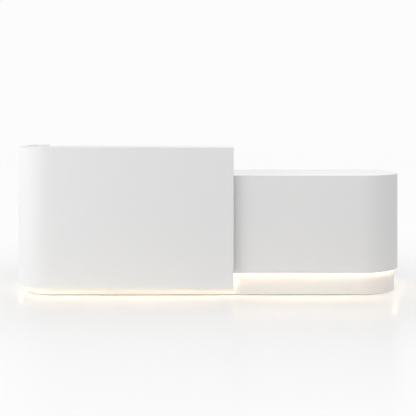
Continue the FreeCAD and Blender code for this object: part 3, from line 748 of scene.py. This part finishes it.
def driver_case(low, high):
    """Ribbed case of the light line's supply, with a mains inlet sunk in its left end."""
    middle = (low + high) / 2
    case = block("light_driver_case", low, high)
    bpy.ops.object.mode_set(mode="EDIT")
    first = low.x + DRIVER_PLAIN_END
    pitch = (high.x - low.x - 2 * DRIVER_PLAIN_END) / (2 * DRIVER_RIBS + 1)
    for cut in range(2 * DRIVER_RIBS + 2):
        bpy.ops.mesh.select_all(action="SELECT")
        bpy.ops.mesh.bisect(plane_co=(first + cut * pitch, 0, 0), plane_no=(1, 0, 0))

    def on_groove(centre, normal):
        strip = int((centre.x - first) // pitch)
        return normal.z > 0.9 and 0 <= strip <= 2 * DRIVER_RIBS and strip % 2 == 0

    pick_faces(case, on_groove)
    bpy.ops.mesh.inset(thickness=DRIVER_GROOVE_EDGE, depth=-DRIVER_GROOVE, use_individual=True)
    bpy.ops.object.mode_set(mode="OBJECT")
    deep, wide, tall = INLET
    mouth_low = (low.x - deep, middle.y - wide / 2, middle.z - tall / 2)
    mouth_high = (low.x + deep, middle.y + wide / 2, middle.z + tall / 2)
    cut_out(case, block("mouth", mouth_low, mouth_high))
    ease(case, DRIVER_EDGE)
    return case


def driver_lug(end, outward, middle, foot):
    """Rounded lug at one end of the case; outward is -1 at the left end and 1 at the right."""
    long, wide, tall = LUG
    tip = end + outward * long
    x_low, x_high = sorted((end - outward * LUG_LAP, tip))
    lug = block("lug", (x_low, middle - wide / 2, foot), (x_high, middle + wide / 2, foot + tall))
    bpy.ops.object.mode_set(mode="EDIT")
    pick_edges(lug, lambda corner: near(corner.x, tip), along=(0, 0, 1))
    bpy.ops.mesh.bevel(offset=LUG_ROUND, segments=4, affect="EDGES")
    bpy.ops.object.mode_set(mode="OBJECT")
    ease(lug, SMALL_EDGE)
    return lug


def inlet_pins(low, middle):
    """Flat pins that stand on the back of the inlet."""
    back = low.x + INLET[0]
    long, wide, tall = INLET_PIN
    pins = []
    for y, z in INLET_PINS_YZ:
        pin_low = (back - long, middle.y + y - wide / 2, middle.z + z - tall / 2)
        pin_high = (back, middle.y + y + wide / 2, middle.z + z + tall / 2)
        pin = block("pin", pin_low, pin_high)
        ease(pin, SMALL_EDGE)
        pins.append(pin)
    return joined("inlet_pins", pins)


def light_driver(master):
    """Supply of the light line, screwed down by two lugs."""
    low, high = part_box("led_driver")
    middle = (low + high) / 2
    parts = [driver_case(low, high)]
    places = []
    for end, outward in ((low.x, -1), (high.x, 1)):
        parts.append(driver_lug(end, outward, middle.y, low.z))
        places.append(((end + outward * LUG[0] / 2, middle.y, low.z + LUG[2]), (0, 0, 1)))
    fit(joined("light_driver", parts), "desk", "grey_plastic", "led_driver")
    fit(inlet_pins(low, middle), "desk", "zinc_steel")
    spread(master, "driver_screws", "desk", "zinc_steel", places)


def grommet_rings():
    """Cable grommets: the section of sleeve and rim, turned round the axis of its hole."""
    low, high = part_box("cable_grommets")
    rim = (high.y - low.y) / 2
    outer = rim - GROMMET_FLANGE
    bore = outer - GROMMET_WALL
    axis = Vector((low.x + rim, low.y + rim, 0))
    bpy.ops.object.select_all(action="DESELECT")
    section = (axis.x + (bore + outer) / 2, axis.y, (low.z + high.z) / 2)
    bpy.ops.mesh.primitive_plane_add(size=1, location=section, rotation=(math.radians(90), 0, 0))
    ring = set_size("grommet", (outer - bore, high.z - low.z, 1))
    bpy.ops.object.mode_set(mode="EDIT")
    bpy.ops.mesh.select_all(action="SELECT")
    bpy.ops.mesh.bisect(plane_co=(0, 0, high.z - GROMMET_LIP), plane_no=(0, 0, 1))
    pick_edges(ring, lambda end: near(end.x, axis.x + outer) and end.z > high.z - GROMMET_LIP - NEAR)
    pull_out(GROMMET_FLANGE, 0, 0)
    pick_corners(ring, lambda end: near(end.z, high.z) and not near(end.x, axis.x + outer))
    bpy.ops.mesh.bevel(offset=GROMMET_ROUND, segments=3, affect="VERTICES")
    bpy.ops.mesh.select_all(action="SELECT")
    bpy.ops.mesh.dissolve_faces()
    bpy.ops.mesh.delete(type="ONLY_FACE")
    bpy.ops.mesh.select_all(action="SELECT")
    bpy.ops.mesh.spin(steps=GROMMET_STEPS, angle=2 * math.pi, center=axis, axis=(0, 0, 1))
    bpy.ops.mesh.select_all(action="SELECT")
    bpy.ops.mesh.remove_doubles(threshold=NEAR)
    bpy.ops.mesh.normals_make_consistent(inside=False)
    bpy.ops.object.mode_set(mode="OBJECT")
    bpy.ops.object.shade_smooth_by_angle(angle=ROUND_ANGLE)
    step = high.x - low.x - 2 * rim
    other = copy_of(ring, "grommet", Matrix.Translation((step, 0, 0)))
    fit(joined("cable_grommet_rings", [ring, other]), "desk", "grey_plastic", "cable_grommets")


def file_rails():
    """Rails clipped over the sides of the deep drawer, with a ridge that hanging files slide on."""
    low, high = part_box("file_drawer_sides")
    end_low, end_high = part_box("file_drawer_ends")
    y_low = end_low.y + DRAWER_BOARD + RAIL_END
    y_high = end_high.y - DRAWER_BOARD - RAIL_END
    z = high.z + RAIL_GAUGE
    rails = []
    for outer, inner in ((low.x, low.x + DRAWER_BOARD), (high.x, high.x - DRAWER_BOARD)):
        turn = 1 if inner > outer else -1
        outside = outer - turn * RAIL_PLAY
        inside = inner + turn * RAIL_PLAY
        bpy.ops.object.select_all(action="DESELECT")
        bpy.ops.mesh.primitive_plane_add(size=1, location=((outside + inside) / 2, (y_low + y_high) / 2, z))
        rail = set_size("rail", (abs(inside - outside), y_high - y_low, 1))
        bpy.ops.object.mode_set(mode="EDIT")
        pick_edges(rail, lambda end: near(end.x, outside))
        pull_out(0, 0, -RAIL_SKIRT)
        pick_edges(rail, lambda end: near(end.x, inside))
        pull_out(0, 0, RAIL_RIDGE)
        bpy.ops.object.mode_set(mode="OBJECT")
        thicken(rail, RAIL_GAUGE, 0)
        ease(rail, RAIL_EDGE)
        rails.append(rail)
    fit(joined("file_rails", rails), "file_drawer", "zinc_steel")


def small_fittings():
    """Screws, pads, tray, driver, grommets and file rails."""
    head = screw_head()
    hinge_screws(head)
    bracket_screws(head)
    runner_screws(head)
    pull_screws(head)
    cable_tray_sheet(head)
    light_driver(head)
    bpy.data.objects.remove(head)
    front_buffers()
    grommet_rings()
    file_rails()


def seen_white(tree):
    """1 for rays that see the background: straight, in a gloss or through something clear."""
    ray = add(tree, "LightPath").outputs
    seen = worked_out(tree, "Math", "MAXIMUM", ray["Is Camera Ray"], ray["Is Glossy Ray"])
    return worked_out(tree, "Math", "MAXIMUM", seen, ray["Is Transmission Ray"])


def studio_world():
    """Even pale room light, with a plain white background where it is seen."""
    world = bpy.data.worlds.new("studio")
    bpy.context.scene.world = world
    world.use_nodes = True
    tree = world.node_tree
    room = tree.nodes["Background"]
    room.inputs["Color"].default_value = (1, 1, 1, 1)
    room.inputs["Strength"].default_value = AMBIENT
    white = add(tree, "Background", Color=(1, 1, 1, 1), Strength=BACKGROUND_WHITE)
    mix = blend(tree, seen_white(tree), room, white)
    tree.links.new(mix.outputs[0], tree.nodes["World Output"].inputs["Surface"])


def far_from_desk(tree):
    """How much of the floor is background: none beside the desk, nearly all of it far away."""
    high = cad_box[1]
    place = add(tree, "TexCoord").outputs["Object"]
    across = worked_out(tree, "VectorMath", "ABSOLUTE", place)
    beyond = worked_out(tree, "VectorMath", "SUBTRACT", across, (high[0] - FLOOR_END, high[1], 0))
    outside = worked_out(tree, "VectorMath", "MAXIMUM", beyond, (0, 0, 0))
    reach = worked_out(tree, "VectorMath", "LENGTH", outside)
    past = worked_out(tree, "Math", "SUBTRACT", reach, FLOOR_NEAR)
    metres = worked_out(tree, "Math", "MAXIMUM", past, 0)
    left = worked_out(tree, "Math", "POWER", FLOOR_FADE, metres)
    return worked_out(tree, "Math", "MULTIPLY_ADD", left, -FLOOR_MOST, FLOOR_MOST)


def studio_floor():
    """Polished pale floor that passes into the white background away from the desk."""
    bpy.ops.object.select_all(action="DESELECT")
    bpy.ops.mesh.primitive_plane_add(size=FLOOR_SIZE, location=(0, 0, 0))
    floor = bpy.context.object
    floor.name = "studio_floor"
    material = bpy.data.materials.new("studio_floor")
    material.use_nodes = True
    tree = material.node_tree
    tree.nodes.remove(tree.nodes["Principled BSDF"])
    matt = add(tree, "BsdfDiffuse", Color=(FLOOR_WHITE, FLOOR_WHITE, FLOOR_WHITE, 1))
    white = add(tree, "Emission", Color=(1, 1, 1, 1), Strength=1.0)
    gloss = add(tree, "BsdfAnisotropic", Color=(1, 1, 1, 1))
    polish = ramp(tree, noise(tree, FLOOR_POLISH_SCALE), 0, 1, *FLOOR_POLISH)
    tree.links.new(polish, gloss.inputs["Roughness"])
    share = worked_out(tree, "Math", "MULTIPLY", far_from_desk(tree), seen_white(tree))
    base = blend(tree, share, matt, white)
    sheen = add(tree, "Fresnel", IOR=FLOOR_IOR)
    mirror = worked_out(tree, "Math", "MULTIPLY", sheen.outputs[0], FLOOR_MIRROR)
    top = blend(tree, mirror, base, gloss)
    tree.links.new(top.outputs[0], tree.nodes["Material Output"].inputs["Surface"])
    floor.data.materials.append(material)


def softbox(name, place, target, width, height, power, colour=(1, 1, 1)):
    """A soft lamp that faces its target and isn't seen itself."""
    lamp = bpy.data.lights.new(name, "AREA")
    lamp.shape = "RECTANGLE"
    lamp.size = width
    lamp.size_y = height
    lamp.energy = power
    lamp.color = colour
    box = bpy.data.objects.new(name, lamp)
    bpy.context.collection.objects.link(box)
    box.location = place
    box.rotation_euler = (Vector(target) - Vector(place)).to_track_quat("-Z", "Y").to_euler()
    box.visible_camera = False
    return box


def line_spill(name, place, outward, length, power):
    """Warm light of the light line, thrown over the floor beside the desk and not bounced on."""
    start = Vector(place) + SPILL_GAP * Vector(outward)
    lamp = softbox(name, start, start + Vector(outward), length, SPILL_WIDTH, power, SPILL_COLOUR)
    lamp.visible_glossy = False
    lamp.data.cycles.max_bounces = 0


def line_spills():
    """One lamp before each front and one at the tall front's rounded end."""
    low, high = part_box("fascia_shell")
    front = ((low.x + high.x) / 2, low.y, SPILL_Z)
    end = (low.x, 0, SPILL_Z)
    line_spill("tall_line_spill", front, (0, -1, 0), high.x - low.x - SPILL_SHORT, TALL_SPILL_POWER)
    line_spill("end_line_spill", end, (-1, 0, 0), high.y - low.y - SPILL_SHORT, END_SPILL_POWER)
    low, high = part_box("drum_skin")
    front = ((low.x + high.x) / 2, low.y, SPILL_Z)
    line_spill("low_line_spill", front, (0, -1, 0), high.x - low.x - SPILL_SHORT, LOW_SPILL_POWER)


def studio_lights():
    """The softboxes, and the light line's light on the floor."""
    for box in SOFTBOXES:
        softbox(*box)
    line_spills()


def photo_camera():
    """Level camera at the photograph's place, with its lens shifted down."""
    camera = bpy.data.cameras.new("photo_view")
    camera.lens = CAMERA_LENS_MM
    camera.sensor_width = CAMERA_SENSOR_MM
    camera.shift_y = CAMERA_SHIFT_Y
    view = bpy.data.objects.new("photo_view", camera)
    bpy.context.collection.objects.link(view)
    view.location = CAMERA_PLACE
    view.rotation_euler = (math.radians(90), 0, 0)
    bpy.context.scene.camera = view


finishes = paint_nodes()
ease_boards()
small_fittings()
studio_world()
studio_floor()
studio_lights()
photo_camera()
bpy.context.scene.view_settings.view_transform = "Standard"
